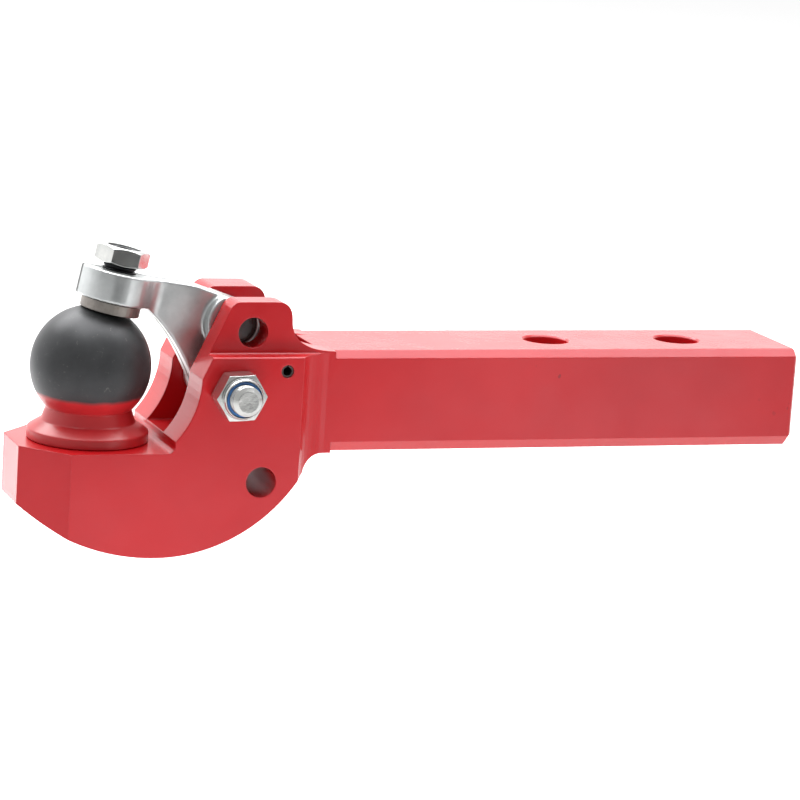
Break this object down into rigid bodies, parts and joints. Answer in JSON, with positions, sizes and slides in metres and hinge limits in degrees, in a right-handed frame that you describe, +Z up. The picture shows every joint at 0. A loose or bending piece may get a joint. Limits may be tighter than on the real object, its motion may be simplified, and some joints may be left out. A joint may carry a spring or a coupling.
{
  "type": "trailer hitch with ball",
  "caption": "Rigid drawbar hitch: a drilled square bar, a hook block carrying a coupling ball, and a hinged hold-down arm whose screw pad sits over the ball.",
  "frame": {"origin": "centre of the bar's plain rear end face", "axes": "+X along the bar, away from the ball; +Z up; the ball stands at -X"},
  "size_m": [0.5495, 0.1451, 0.2012],
  "materials": {
    "red_paint": "gloss",
    "ball_steel": "satin",
    "zinc_plate": "satin",
    "pad_steel": "satin",
    "plain_steel": "satin",
    "blue_nylon": "matte"
  },
  "bodies": {
    "frame": {"drawbar_body": "red_paint", "coupling_ball": "ball_steel", "ball_washer": "plain_steel", "ball_bolt": "plain_steel", "pivot_bolt": "zinc_plate", "pivot_washer": "zinc_plate", "pivot_nut": "zinc_plate", "pivot_nut_insert": "blue_nylon", "keeper_pin": "zinc_plate"},
    "arm": {"hold_down_arm": "zinc_plate", "arm_pivot_bush": "plain_steel", "arm_lock_bush": "zinc_plate"},
    "pad": {"pad_screw": "pad_steel"},
    "lock_nut": {"pad_lock_nut": "zinc_plate"}
  },
  "joints": [
    {"name": "arm_swing", "type": "hinge", "parent": "frame", "child": "arm", "pos_m": [-0.413, 0, 0.0089], "axis": [0, 1, 0], "range_deg": [0, 83]},
    {"name": "pad_screw_turn", "type": "hinge", "parent": "arm", "child": "pad", "pos_m": [-0.4872, 0, 0.0544], "axis": [0.1908, 0, 0.9816], "range_deg": [-180, 180]},
    {"name": "lock_nut_run", "type": "slide", "parent": "pad", "child": "lock_nut", "axis": [-0.1908, 0, -0.9816], "range_m": [0, 0.0039]}
  ]
}
